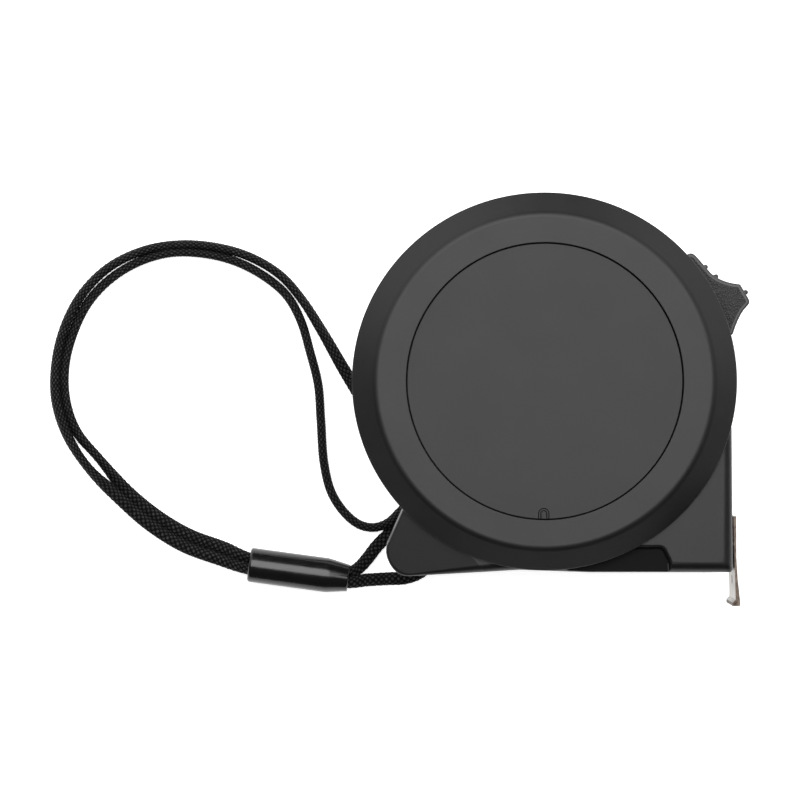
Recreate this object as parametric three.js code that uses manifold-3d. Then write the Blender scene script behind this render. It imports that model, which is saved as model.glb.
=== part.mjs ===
// A pocket tape measure with a wrist strap, lying on its back.
// Millimetres. The reel turns about the Z axis, +Z points out of the front face,
// +X points the way the blade pulls out, and +Y is the top of the case.
// The origin is on the reel axis, on the surface that the belt clip rests on.

import * as THREE from 'three';
import { mergeVertices } from 'three/addons/utils/BufferGeometryUtils.js';
import Module from 'manifold-3d';

const wasm = await Module();
wasm.setup();

// ---- Driving dimensions ----

const GAP = 0.3;                    // left between pieces that touch

// Levels along the reel axis
const CLIP_THICKNESS = 0.8;
const CAP_BACK = 5.2;               // back of the raised round cap
const CASE_BACK = 7.0;              // back of the rear shell
const CASE_FRONT = 32.0;            // side face of the front shell
const CASE_MIDDLE = (CASE_BACK + CASE_FRONT) / 2;
const BEZEL_FRONT = 36.2;           // flat ring of the front bezel
const FACE_WALL = 2.0;
const SIDE_WALL = 1.8;

// Case outline
const BODY_RADIUS = 33.0;
const FRONT_X = 34.2;
const BASE_Y = -34.6;
const FOOT_X = -28.7;
const FOOT_Y = -35.3;

// Front bezel and label
const RIM_RADIUS = 34.8;
const RING_RADIUS = 30.2;
const LABEL_SEAT_RADIUS = 24.95;
const RIM_FLATTENING = 0.0187;      // the rim is a little wider than it is tall
const RIM_HEIGHT = 32.9;            // level where the sloped ring ends
const REAR_CAP_RADIUS = 25.4;

// Blade and reel
const BLADE_WIDTH = 19.0;
const BLADE_THICKNESS = 0.3;
const BLADE_SAG = 1.6;              // height of the blade's curved section
const BLADE_Y = -30.9;              // underside of the blade at its middle
const BLADE_END_X = 33.6;
const BLADE_TAIL_X = -22.0;
const COIL_OUTER = 25.5;
const COIL_INNER = 20.7;
const DRUM_OUTER = 20.4;
const DRUM_INNER = 19.2;
const ARBOR_RADIUS = 3.2;

// End hook
const HOOK_HALF_WIDTH = 8.8;
const HOOK_TOP_Y = -24.5;
const HOOK_BOTTOM_Y = -40.8;
const HOOK_TRAVEL = 1.0;
const RIVETS = [[24.5, 0], [29.3, -2.8], [29.3, 2.8]];  // x, offset from the middle

// Thumb lock
const LOCK_WIDTH = 15.0;
const LOCK_BORE = BODY_RADIUS + 0.35;
const LOCK_ARC = [13.8, 41.5];      // degrees about the reel axis

// Fasteners
const SCREWS = [[28.4, -25.4], [-24.6, -31.0], [-20.4, 20.9], [14.6, 25.3]];
const SCREW_HOLE = 1.1;
const SCREW_SHANK = 0.8;
const BOSS_RADIUS = 2.1;

// Belt clip
const CLIP_HALF_WIDTH = 9.0;
const CLIP_SCREW_Y = 17.5;
const CLIP_HINGE_Y = 7.0;

// Wrist strap
const CORD_RADIUS = 0.75;
const CORD_SIDES = 8;
const STRAP_HOLE = [-21.0, -21.8];
const STRAP_HOLE_RADIUS = 2.75;
const STRAP_BEARING = 226;          // direction of the strap hole from the reel axis
const STRAP_POST_AT = 28.9;         // distance of the strap post from the reel axis
const STRAP_POST_LEVEL = 12.2;
const BEAD_LEFT = [-54.28, -34.07];
const BEAD_RIGHT = [-35.71, -36.59];
const BEAD_RADIUS = 3.25;

// Route of the strap's two strands, from the strap hole round the wrist loop,
// through the bead and back to the hole.
const OUTER_ROUTE = [
  [-20.05, -20.85, 10.5], [-20.1, -20.7, 7.4], [-21.6, -19.0, 3.7], [-24.2, -15.8, 1.5],
  [-28.2, -10.5, 1.1], [-32.4, -4.4, 1.1], [-36.5, 2.2, 1.1], [-40.8, 9.7, 1.1],
  [-44.5, 15.5, 1.1], [-48.5, 20.0, 1.1], [-54.2, 23.5, 1.1], [-60.5, 25.4, 1.1],
  [-67.3, 25.9, 1.1], [-74.0, 24.8, 1.1], [-80.5, 21.7, 1.1], [-85.6, 16.7, 1.1],
  [-88.9, 10.5, 1.1], [-90.6, 3.5, 1.1], [-90.6, -3.5, 1.1], [-88.6, -10.0, 1.1],
  [-84.6, -15.8, 1.1], [-79.0, -21.7, 1.1], [-72.9, -27.0, 1.1], [-66.5, -30.9, 1.1],
  [-60.0, -33.2, 1.6], [-54.4, -34.9, 3.2], [-45.1, -36.4, 3.25], [-35.9, -37.35, 3.1],
  [-32.2, -37.0, 1.6], [-28.3, -36.8, 1.1], [-25.0, -36.6, 1.1], [-22.4, -35.6, 1.1],
  [-20.2, -33.6, 1.1], [-18.9, -30.6, 1.1], [-18.6, -27.2, 1.6], [-19.2, -24.5, 3.7],
  [-20.0, -22.9, 7.4], [-20.05, -22.75, 10.5],
];
const INNER_ROUTE = [
  [-21.95, -20.85, 10.5], [-22.0, -20.9, 7.4], [-22.9, -21.7, 3.7], [-24.3, -22.9, 1.6],
  [-26.1, -24.5, 1.1], [-28.4, -26.4, 1.1], [-31.0, -27.2, 1.1], [-33.6, -26.7, 1.1],
  [-36.3, -24.6, 1.1], [-38.9, -20.7, 1.1], [-40.3, -15.2, 1.1], [-40.9, -7.1, 1.1],
  [-41.4, -0.5, 1.1], [-42.9, 5.6, 1.1], [-44.7, 11.6, 1.1], [-47.3, 16.2, 1.1],
  [-51.4, 19.7, 1.1], [-57.0, 22.5, 1.1], [-63.4, 23.9, 1.1], [-69.4, 23.9, 1.1],
  [-75.3, 22.1, 1.1], [-80.4, 18.9, 1.1], [-84.3, 14.7, 1.1], [-87.0, 9.3, 1.1],
  [-88.6, 3.2, 1.1], [-88.5, -3.1, 1.1], [-86.5, -8.9, 1.1], [-82.3, -14.4, 1.1],
  [-77.0, -20.2, 1.1], [-71.0, -25.2, 1.1], [-65.2, -28.7, 1.1], [-59.7, -31.0, 1.6],
  [-56.4, -32.35, 3.0], [-54.3, -33.0, 3.25], [-44.9, -34.2, 3.25], [-35.6, -35.5, 3.1], [-33.8, -34.7, 2.0],
  [-32.2, -33.0, 1.2], [-30.5, -30.8, 1.1], [-28.6, -28.9, 1.1], [-26.5, -27.2, 1.1],
  [-24.5, -25.5, 1.1], [-22.9, -24.0, 2.6], [-22.1, -23.1, 5.2], [-21.95, -22.8, 7.6],
  [-21.95, -22.75, 10.5],
];

// ---- Materials ----

function finish(color, roughness, metalness = 0) {
  return new THREE.MeshStandardMaterial({ color, roughness, metalness });
}

const RUBBERISED = finish(0x3d3d3e, 0.7);
const SHELL = finish(0x414142, 0.6);
const LABEL = finish(0x4a4a4a, 0.75);
const LOCK_PLASTIC = finish(0x4b4a4b, 0.55);
const STEEL = finish(0xb9b7b2, 0.35, 1);
const BLACK_STEEL = finish(0x26262a, 0.45, 1);
const BLADE_YELLOW = finish(0xe3b62a, 0.4);
const NYLON = finish(0xdedbd0, 0.6);
const RUBBER = finish(0x202020, 0.9);
const CORD_BLACK = finish(0x111112, 0.9);
const GLOSS_BLACK = finish(0x0a0a0b, 0.2);

// ---- Geometry helpers ----

// A closed manifold solid from a three.js geometry.
function solid(geometry) {
  const bare = geometry.clone();
  bare.deleteAttribute('normal');
  bare.deleteAttribute('uv');
  const merged = mergeVertices(bare, 1e-4);
  const points = merged.attributes.position;
  const index = merged.index.array;
  const triangles = [];
  let volume = 0;
  const a = new THREE.Vector3();
  const b = new THREE.Vector3();
  const c = new THREE.Vector3();
  for (let i = 0; i < index.length; i += 3) {
    const [p, q, r] = [index[i], index[i + 1], index[i + 2]];
    if (p === q || q === r || r === p) continue;
    triangles.push([p, q, r]);
    a.fromBufferAttribute(points, p);
    b.fromBufferAttribute(points, q);
    c.fromBufferAttribute(points, r);
    volume += a.dot(b.cross(c));
  }
  const ordered = volume < 0 ? triangles.map(([p, q, r]) => [p, r, q]) : triangles;
  return new wasm.Manifold(new wasm.Mesh({
    numProp: 3,
    vertProperties: new Float32Array(points.array),
    triVerts: new Uint32Array(ordered.flat()),
  }));
}

function toGeometry(body) {
  const mesh = body.getMesh();
  const geometry = new THREE.BufferGeometry();
  geometry.setAttribute('position', new THREE.BufferAttribute(mesh.vertProperties, 3));
  geometry.setIndex(new THREE.BufferAttribute(mesh.triVerts, 1));
  geometry.computeVertexNormals();
  return geometry;
}

function polygon(points) {
  return new THREE.Shape(points.map(([x, y]) => new THREE.Vector2(x, y)));
}

// A shape in XY, extruded from one level to another.
function prism(shape, low, high, curveSegments = 16) {
  const geometry = new THREE.ExtrudeGeometry(shape, {
    depth: high - low, bevelEnabled: false, curveSegments,
  });
  return solid(geometry.translate(0, 0, low));
}

// A section given as [offset from the case middle, y] points, extruded along X.
function barAlongX(points, low, high) {
  const shape = polygon(points.map(([offset, y]) => [-offset, y]));
  const geometry = new THREE.ExtrudeGeometry(shape, { depth: high - low, bevelEnabled: false });
  geometry.rotateY(Math.PI / 2);
  return solid(geometry.translate(low, 0, CASE_MIDDLE));
}

// A turned solid about the Z axis from [radius, z] points, moved to x, y.
function turned(profile, x = 0, y = 0, segments = 32) {
  const points = profile.map(([r, z]) => new THREE.Vector2(r, z));
  const geometry = new THREE.LatheGeometry(points, segments);
  geometry.rotateX(Math.PI / 2);
  return solid(geometry.translate(x, y, 0));
}

function cylinder(x, y, radius, low, high, segments = 20) {
  return turned([[0, low], [radius, low], [radius, high], [0, high]], x, y, segments);
}

function ring(inner, outer, low, high, segments = 48, x = 0, y = 0) {
  const profile = [[inner, low], [outer, low], [outer, high], [inner, high], [inner, low]];
  return turned(profile, x, y, segments);
}

function polar(radius, degrees) {
  const angle = THREE.MathUtils.degToRad(degrees);
  return [radius * Math.cos(angle), radius * Math.sin(angle)];
}

// Points along an arc about the reel axis, ends included.
function arcPoints(radius, from, to, count) {
  const points = [];
  for (let i = 0; i <= count; i += 1) {
    points.push(polar(radius, from + (to - from) * i / count));
  }
  return points;
}

const group = new THREE.Group();

function add(name, body, material) {
  const mesh = new THREE.Mesh(toGeometry(body), material);
  mesh.name = name;
  group.add(mesh);
}

// ---- Case ----

// Outline of the case moved inwards by inset: a round body with a square nose
// at the lower right and a foot at the lower left.
function caseOutline(inset) {
  const radius = BODY_RADIUS - inset;
  const front = FRONT_X - inset;
  const base = BASE_Y + inset;
  const foot = FOOT_Y + inset;
  const heel = FOOT_X + inset;
  const corner = 0.8;
  const shape = new THREE.Shape();
  shape.moveTo(-4.4, -34.15 + inset);
  shape.lineTo(8.3, base);
  shape.lineTo(front - corner, base);
  shape.quadraticCurveTo(front, base, front, base + corner);
  shape.lineTo(front - 0.2, -8.8);
  shape.lineTo(radius + 0.4, -2.0);
  for (const [x, y] of arcPoints(radius, 3.5, 221, 44)) shape.lineTo(x, y);
  shape.lineTo(heel + 0.5, -29.0);
  shape.quadraticCurveTo(heel - 0.3, -30.4, heel + 0.35, -32.2);
  shape.quadraticCurveTo(heel + 1.5, foot, heel + 4.2, foot);
  shape.closePath();
  return shape;
}

// The shallow recess along the base, under the front bezel.
function baseRecess() {
  const outline = polygon([[4, -36], [23.2, -36], [22.8, -32.6], [21.5, -30.0], [4, -30.0]]);
  return prism(outline, CASE_FRONT - 1.2, CASE_FRONT + 1);
}

function screwBoss([x, y], low, high) {
  return cylinder(x, y, BOSS_RADIUS, low, high).intersect(prism(caseOutline(0.2), low, high, 8));
}

// Window in the wall that the lock's arm moves in.
function lockWindow() {
  const from = LOCK_ARC[0] - 2;
  const outline = polygon([
    ...arcPoints(BODY_RADIUS + 2, from, 35, 4), ...arcPoints(BODY_RADIUS - 4, 35, from, 4),
  ]);
  return prism(outline, CASE_MIDDLE - 5.8, CASE_MIDDLE + 5.8);
}

// Mouth that the blade comes out of.
function bladeMouth() {
  return barAlongX([[-10.2, -32.7], [10.2, -32.7], [10.2, -28.4], [-10.2, -28.4]], 30, 36);
}

// A box beside the strap hole, square to the reel axis, given by its distance
// from the reel axis and its offset across that.
function strapBlock(near, far, from, to, low, high) {
  const outline = polygon([[near, from], [far, from], [far, to], [near, to]]);
  const geometry = new THREE.ExtrudeGeometry(outline, { depth: high - low, bevelEnabled: false });
  geometry.translate(0, 0, low).rotateZ(THREE.MathUtils.degToRad(STRAP_BEARING));
  return solid(geometry);
}

// The pin that the strap is tied round, lying across the strap hole.
function strapPin(radius, halfLength) {
  const pin = new THREE.CylinderGeometry(radius, radius, 2 * halfLength, 16);
  pin.translate(STRAP_POST_AT, 0, STRAP_POST_LEVEL);
  return solid(pin.rotateZ(THREE.MathUtils.degToRad(STRAP_BEARING)));
}

// Two lugs on the rear shell that hold the strap pin.
function strapLugs() {
  const low = CASE_BACK + 1;
  const high = STRAP_POST_LEVEL + 2.2;
  const near = STRAP_POST_AT - 1.8;
  const far = STRAP_POST_AT + 1.6;
  const lugs = strapBlock(near, far, 4.2, 5.4, low, high)
    .add(strapBlock(near, far, -5.4, -4.2, low, high));
  return lugs.subtract(strapPin(1.4, 7));
}

function hollowShell(low, high, cavityLow, cavityHigh) {
  const outer = prism(caseOutline(0), low, high, 8);
  return outer.subtract(prism(caseOutline(SIDE_WALL), cavityLow, cavityHigh, 8));
}

function addShells() {
  const seam = GAP / 2;
  const rearInner = CASE_BACK + FACE_WALL;
  const frontInner = CASE_FRONT - FACE_WALL;
  let rear = hollowShell(CASE_BACK, CASE_MIDDLE - seam, rearInner, CASE_MIDDLE + 1);
  let front = hollowShell(CASE_MIDDLE + seam, CASE_FRONT, CASE_MIDDLE - 1, frontInner);
  for (const place of SCREWS) {
    rear = rear.add(screwBoss(place, CASE_BACK + 1, CASE_MIDDLE - seam));
    front = front.add(screwBoss(place, CASE_MIDDLE + seam, CASE_FRONT - 1));
    rear = rear.subtract(cylinder(...place, SCREW_HOLE, CASE_BACK - 1, CASE_MIDDLE + 1));
    rear = rear.subtract(cylinder(...place, 2.0, CASE_BACK - 1, CASE_BACK + 1.5));
    front = front.subtract(cylinder(...place, SCREW_HOLE, CASE_MIDDLE - 1, CASE_MIDDLE + 8));
  }
  rear = rear.subtract(cylinder(0, CLIP_SCREW_Y, 1.5, CASE_BACK - 1, rearInner + 1));
  rear = rear.subtract(cylinder(...STRAP_HOLE, STRAP_HOLE_RADIUS + 1.2, CASE_BACK - 1, 10, 24));
  rear = rear.subtract(lockWindow()).subtract(bladeMouth()).add(strapLugs());
  front = front.subtract(lockWindow()).subtract(bladeMouth()).subtract(baseRecess());
  add('rear_shell', rear, SHELL);
  add('front_shell', front, SHELL);
}

// Round front bezel: a rim, a sloped ring, a flat ring and a seat for the label.
function addBezel() {
  const low = CASE_FRONT + GAP;
  const seat = BEZEL_FRONT - 2.0;
  const profile = [
    [0, low], [RIM_RADIUS - 0.3, low], [RIM_RADIUS, low + 0.3], [RIM_RADIUS, RIM_HEIGHT],
    [RIM_RADIUS - 0.3, RIM_HEIGHT + 0.5], [RING_RADIUS + 0.5, BEZEL_FRONT - 0.15],
    [RING_RADIUS - 0.3, BEZEL_FRONT], [LABEL_SEAT_RADIUS, BEZEL_FRONT],
    [LABEL_SEAT_RADIUS, seat], [0, seat],
  ];
  const geometry = new THREE.LatheGeometry(profile.map(([r, z]) => new THREE.Vector2(r, z)), 80);
  geometry.rotateX(Math.PI / 2);
  const points = geometry.attributes.position;
  for (let i = 0; i < points.count; i += 1) {
    const radius = Math.hypot(points.getX(i), points.getY(i));
    const outward = (radius - LABEL_SEAT_RADIUS) / (RIM_RADIUS - LABEL_SEAT_RADIUS);
    const squeeze = 1 - RIM_FLATTENING * Math.max(outward, 0);
    points.setY(i, points.getY(i) * squeeze);
  }
  add('front_bezel', solid(geometry), RUBBERISED);
}

function addLabel() {
  const low = BEZEL_FRONT - 2.0 + GAP;
  const top = BEZEL_FRONT - 0.35;
  const radius = LABEL_SEAT_RADIUS - GAP;
  const profile = [[0, low], [radius, low], [radius, top - 0.1], [radius - 0.15, top], [0, top]];
  add('label_disc', turned(profile, 0, 0, 72), LABEL);
}

function addRearCap() {
  const high = CASE_BACK - GAP;
  const profile = [
    [0, CAP_BACK], [REAR_CAP_RADIUS - 1.5, CAP_BACK], [REAR_CAP_RADIUS, CAP_BACK + 1.0],
    [REAR_CAP_RADIUS, high], [0, high],
  ];
  const cap = turned(profile, 0, 0, 64);
  const hole = cylinder(0, CLIP_SCREW_Y, 1.5, CAP_BACK - 1, high + 1);
  add('rear_cap', cap.subtract(hole), RUBBERISED);
}

// The cross-shaped driver recess in a screw's head.
function crossRecess(x, y, level) {
  const arm = (halfWidth, halfHeight) => prism(polygon([
    [x - halfWidth, y - halfHeight], [x + halfWidth, y - halfHeight],
    [x + halfWidth, y + halfHeight], [x - halfWidth, y + halfHeight],
  ]), level - 0.01, level + 0.5);
  return arm(0.9, 0.25).add(arm(0.25, 0.9));
}

function addCaseScrews() {
  SCREWS.forEach((place, number) => {
    const head = CASE_BACK + 0.1;
    const screw = turned([
      [0, head], [1.5, head], [1.7, head + 0.3], [1.7, head + 1.1], [SCREW_SHANK, head + 1.1],
      [SCREW_SHANK, CASE_MIDDLE + 6], [0, CASE_MIDDLE + 7],
    ], ...place, 16);
    add(`case_screw_${number + 1}`, screw.subtract(crossRecess(...place, head)), BLACK_STEEL);
  });
}

// ---- Belt clip: one bent strip of spring steel, split at its bend ----

// A strip of constant thickness across X, from [y, z] points of its lower side.
function clipStrip(lower) {
  const upper = lower.map(([y, z]) => [y, z + CLIP_THICKNESS]).reverse();
  const shape = polygon([...lower, ...upper]);
  const geometry = new THREE.ExtrudeGeometry(shape, {
    depth: 2 * CLIP_HALF_WIDTH, bevelEnabled: false,
  });
  geometry.rotateY(Math.PI / 2).rotateX(Math.PI / 2);
  return solid(geometry.translate(-CLIP_HALF_WIDTH, 0, 0));
}

function addBeltClip() {
  const plateLow = CAP_BACK - GAP - CLIP_THICKNESS;
  const root = clipStrip([
    [23.0, plateLow], [13.5, plateLow], [12.0, plateLow - 0.5], [CLIP_HINGE_Y + 0.8, 0.35],
    [CLIP_HINGE_Y + GAP, 0.05],
  ]).subtract(cylinder(0, CLIP_SCREW_Y, 1.8, plateLow - 1, plateLow + 2));
  add('belt_clip_root', root, BLACK_STEEL);
  const tongue = clipStrip([
    [CLIP_HINGE_Y, 0], [-14.0, 0], [-16.0, 0.5], [-19.5, 2.6], [-21.0, 2.9], [-22.5, 2.5],
    [-25.0, 1.2],
  ]);
  add('belt_clip_tongue', tongue, BLACK_STEEL);
  const plateBottom = plateLow - GAP;
  const screw = turned([
    [0, plateBottom - 1.2], [2.2, plateBottom - 1.2], [3.2, plateBottom - 0.5],
    [3.2, plateBottom], [1.1, plateBottom], [1.1, CASE_BACK + 1.8], [0, CASE_BACK + 1.8],
  ], 0, CLIP_SCREW_Y, 24);
  add('belt_clip_screw', screw, STEEL);
}

// ---- Reel, spring and blade ----

function addReel() {
  const coilLow = CASE_MIDDLE - BLADE_WIDTH / 2;
  const coilHigh = CASE_MIDDLE + BLADE_WIDTH / 2;
  add('blade_coil', ring(COIL_INNER, COIL_OUTER, coilLow, coilHigh, 64), BLADE_YELLOW);
  const webLow = CASE_BACK + FACE_WALL + 0.5;
  const webHigh = webLow + 0.8;
  const wallHigh = coilHigh - 0.8;
  const bore = ARBOR_RADIUS + 0.4;
  add('reel_drum', turned([
    [bore, webLow], [DRUM_OUTER, webLow], [DRUM_OUTER, wallHigh], [DRUM_INNER, wallHigh],
    [DRUM_INNER, webHigh], [bore, webHigh], [bore, webLow],
  ], 0, 0, 64), NYLON);
  const coverLow = wallHigh + GAP;
  add('spring_cover', ring(bore, DRUM_OUTER, coverLow, coverLow + 0.5, 48), NYLON);
  addArbor();
  addPowerSpring(webHigh + 0.5, wallHigh - 0.5);
}

// The fixed post at the centre, slotted for the spring's inner end.
function addArbor() {
  const low = CASE_BACK + FACE_WALL + GAP;
  const high = CASE_FRONT - FACE_WALL - GAP;
  const slot = prism(polygon([[-0.4, -5], [0.4, -5], [0.4, 0.6], [-0.4, 0.6]]), low + 2, high + 1);
  add('arbor_post', cylinder(0, 0, ARBOR_RADIUS, low, high, 32).subtract(slot), STEEL);
}

// A flat spiral of spring steel between the arbor and the drum wall.
function addPowerSpring(low, high) {
  const innerRadius = 4.2;
  const outerRadius = DRUM_INNER - 0.6;
  const turns = 8;
  const stepsPerTurn = 16;
  const thickness = 0.5;
  const steps = turns * stepsPerTurn;
  const outside = [];
  const inside = [];
  for (let i = 0; i <= steps; i += 1) {
    const radius = innerRadius + (outerRadius - innerRadius) * i / steps;
    const degrees = 360 * i / stepsPerTurn;
    outside.push(polar(radius, degrees));
    inside.push(polar(radius - thickness, degrees));
  }
  add('power_spring', prism(polygon([...outside, ...inside.reverse()]), low, high), STEEL);
}

// Height of the blade's curved section above its middle, at an offset across it.
function bladeRise(offset) {
  return BLADE_SAG * (offset / (BLADE_WIDTH / 2)) ** 2;
}

// A strip that follows the blade's curved section, from lift to lift + thickness.
function curvedStrip(halfWidth, lift, thickness, low, high) {
  const bottom = [];
  const top = [];
  const steps = 10;
  for (let i = 0; i <= steps; i += 1) {
    const offset = halfWidth * (2 * i / steps - 1);
    bottom.push([offset, BLADE_Y + lift + bladeRise(offset)]);
    top.push([offset, BLADE_Y + lift + thickness + bladeRise(offset)]);
  }
  return barAlongX([...bottom, ...top.reverse()], low, high);
}

// A cylinder along Y, centred at x and at an offset from the case middle.
function pinAlongY(x, offset, radius, low, high) {
  const geometry = new THREE.CylinderGeometry(radius, radius, high - low, 16);
  return solid(geometry.translate(x, (low + high) / 2, CASE_MIDDLE + offset));
}

function addBlade() {
  let blade = curvedStrip(BLADE_WIDTH / 2, 0, BLADE_THICKNESS, BLADE_TAIL_X, BLADE_END_X);
  for (const [x, offset] of RIVETS) {
    blade = blade.subtract(pinAlongY(x, offset, 1.0, BLADE_Y - 2, BLADE_Y + 2));
  }
  add('blade_front', blade, BLADE_YELLOW);
}

function addRivets() {
  const headRadius = 1.5;
  const tabTop = BLADE_Y + BLADE_THICKNESS + GAP + 0.6;
  RIVETS.forEach(([x, offset], number) => {
    const rise = bladeRise(offset);
    const lowHead = BLADE_Y + rise - 0.35;
    const highHead = tabTop + rise + 0.4;
    const rivet = pinAlongY(x, offset, 0.65, lowHead - 0.3, highHead + 0.3)
      .add(pinAlongY(x, offset, headRadius, lowHead - 0.5, lowHead))
      .add(pinAlongY(x, offset, headRadius, highHead, highHead + 0.5));
    add(`hook_rivet_${number + 1}`, rivet, STEEL);
  });
}

// The end hook: a leg in front of the mouth, and a tab riveted over the blade.
function addHook() {
  const inner = FRONT_X + 0.25;
  const leg = polygon([
    [inner, HOOK_TOP_Y], [inner + 0.9, HOOK_TOP_Y], [inner + 1.45, HOOK_BOTTOM_Y],
    [inner - 0.15, HOOK_BOTTOM_Y], [inner - 0.15, HOOK_BOTTOM_Y + 0.6],
    [inner + 0.4, HOOK_BOTTOM_Y + 1.2],
  ]);
  const low = CASE_MIDDLE - HOOK_HALF_WIDTH;
  let hook = prism(leg, low, low + 2 * HOOK_HALF_WIDTH);
  hook = hook.add(curvedStrip(4.8, BLADE_THICKNESS + GAP, 0.6, 22.0, inner + 0.5));
  for (const [x, offset] of RIVETS) {
    const slot = pinAlongY(x, offset, 0.95, -34, -27);
    const end = pinAlongY(x - HOOK_TRAVEL, offset, 0.95, -34, -27);
    const middle = barAlongX([
      [offset - 0.95, -34], [offset + 0.95, -34], [offset + 0.95, -27], [offset - 0.95, -27],
    ], x - HOOK_TRAVEL, x);
    hook = hook.subtract(slot.add(end).add(middle));
  }
  const nail = new THREE.CylinderGeometry(0.9, 0.9, 6, 20);
  nail.rotateZ(Math.PI / 2);
  hook = hook.subtract(solid(nail.translate(inner + 0.5, -36.2, CASE_MIDDLE)));
  add('end_hook', hook, STEEL);
}

// Two nylon rails in the mouth that carry the blade's edges.
function addMouthGuides() {
  const section = [[5, -32.4], [9.9, -32.4], [9.9, -29.35], [9.4, -29.7], [7.2, -30.4], [5, -30.9]];
  const mirrored = section.map(([offset, y]) => [-offset, y]).reverse();
  add('mouth_guide_front', barAlongX(section, 24, 32), NYLON);
  add('mouth_guide_rear', barAlongX(mirrored, 24, 32), NYLON);
}

// ---- Thumb lock ----

// Side view of the thumb lock's cap: a saddle with a nose at the front.
function lockOutline() {
  const shape = new THREE.Shape();
  const [low, high] = LOCK_ARC;
  shape.moveTo(...polar(LOCK_BORE, low));
  shape.lineTo(34.4, 8.45);
  shape.quadraticCurveTo(35.3, 11.4, 36.4, 12.95);
  shape.lineTo(37.2, 13.85);
  shape.quadraticCurveTo(37.7, 14.4, 37.3, 15.1);
  shape.lineTo(35.95, 17.45);
  shape.quadraticCurveTo(35.75, 17.75, 35.3, 17.75);
  shape.quadraticCurveTo(32.2, 18.1, 30.4, 19.8);
  shape.lineTo(28.2, 22.3);
  shape.quadraticCurveTo(27.2, 23.7, 26.3, 23.2);
  shape.lineTo(...polar(LOCK_BORE, high));
  for (const [x, y] of arcPoints(LOCK_BORE, high, low, 8)) shape.lineTo(x, y);
  return shape;
}

function addLock() {
  const low = CASE_MIDDLE - LOCK_WIDTH / 2;
  const high = low + LOCK_WIDTH;
  let button = prism(lockOutline(), low, high, 6);
  for (const [x, y] of [[29.55, 20.85], [31.45, 19.1], [36.85, 16.25]]) {
    button = button.add(cylinder(x, y, 0.45, low + 0.8, high - 0.8, 10));
  }
  add('lock_button', button, LOCK_PLASTIC);
  const arm = polygon([
    ...arcPoints(LOCK_BORE - GAP, 21, 33, 4), ...arcPoints(28.3, 33, 21, 4),
  ]);
  add('lock_arm', prism(arm, CASE_MIDDLE - 5, CASE_MIDDLE + 5), NYLON);
  const pad = polygon([...arcPoints(28.0, 21, 33, 4), ...arcPoints(26.8, 33, 21, 4)]);
  add('lock_pad', prism(pad, CASE_MIDDLE - 5, CASE_MIDDLE + 5), RUBBER);
}

// ---- Wrist strap ----

function addStrapAnchor() {
  const low = CASE_BACK - 0.8;
  const inner = STRAP_HOLE_RADIUS;
  const collar = inner + 1.2 - GAP;
  const profile = [
    [inner, low], [collar + 0.8, low], [collar + 0.8, CASE_BACK - GAP],
    [collar, CASE_BACK - GAP], [collar, CASE_BACK + FACE_WALL - 0.2],
    [inner, CASE_BACK + FACE_WALL - 0.2], [inner, low],
  ];
  add('strap_grommet', turned(profile, ...STRAP_HOLE, 24), RUBBERISED);
  add('strap_post', strapPin(1.1, 5.2), STEEL);
}

// A smooth curve whose steps fall on its own points.
class RouteCurve extends THREE.CatmullRomCurve3 {
  getUtoTmapping(u) {
    return u;
  }
}

function strand(route) {
  const section = polygon(
    Array.from({ length: CORD_SIDES }, (_, i) => polar(CORD_RADIUS, 360 * i / CORD_SIDES)),
  );
  const path = new RouteCurve(route.map((point) => new THREE.Vector3(...point)));
  return solid(new THREE.ExtrudeGeometry(section, {
    steps: route.length - 1, extrudePath: path, bevelEnabled: false,
  }));
}

// The bead: a barrel with a tapered right end and an oval bore for two strands.
function addBead() {
  const length = Math.hypot(BEAD_RIGHT[0] - BEAD_LEFT[0], BEAD_RIGHT[1] - BEAD_LEFT[1]);
  const tilt = Math.atan2(BEAD_RIGHT[1] - BEAD_LEFT[1], BEAD_RIGHT[0] - BEAD_LEFT[0]);
  const profile = [
    [0, 0], [BEAD_RADIUS - 0.5, 0], [BEAD_RADIUS, 0.6], [BEAD_RADIUS, length - 4.2],
    [BEAD_RADIUS - 0.5, length - 0.6], [BEAD_RADIUS - 0.9, length], [0, length],
  ];
  const barrel = new THREE.LatheGeometry(profile.map(([r, h]) => new THREE.Vector2(r, h)), 24);
  const bore = new THREE.CylinderGeometry(1, 1, length + 4, 24);
  bore.scale(1.35, 1, 2.3);
  bore.translate(0, length / 2, 0);
  const place = (geometry) => {
    geometry.rotateZ(-Math.PI / 2).rotateX(Math.PI / 2).rotateZ(tilt);
    return solid(geometry.translate(BEAD_LEFT[0], BEAD_LEFT[1], BEAD_RADIUS));
  };
  add('cord_bead', place(barrel).subtract(place(bore)), GLOSS_BLACK);
}

addShells();
addBezel();
addLabel();
addRearCap();
addCaseScrews();
addBeltClip();
addReel();
addBlade();
addRivets();
addHook();
addMouthGuides();
addLock();
addStrapAnchor();
add('wrist_cord_outer', strand(OUTER_ROUTE), CORD_BLACK);
add('wrist_cord_inner', strand(INNER_ROUTE), CORD_BLACK);
addBead();

export default group;
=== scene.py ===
"""A pocket tape measure with a wrist strap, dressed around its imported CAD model.

Lengths in this file are millimetres in the part's own frame, unless a name ends in _M;
the mesh helpers turn them into metres. +Z points out of the tape's front face, +X the way
the blade pulls out and +Y to the top of the case, and the tape lies on its back at z = 0.
"""
import math
from contextlib import contextmanager

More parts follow.
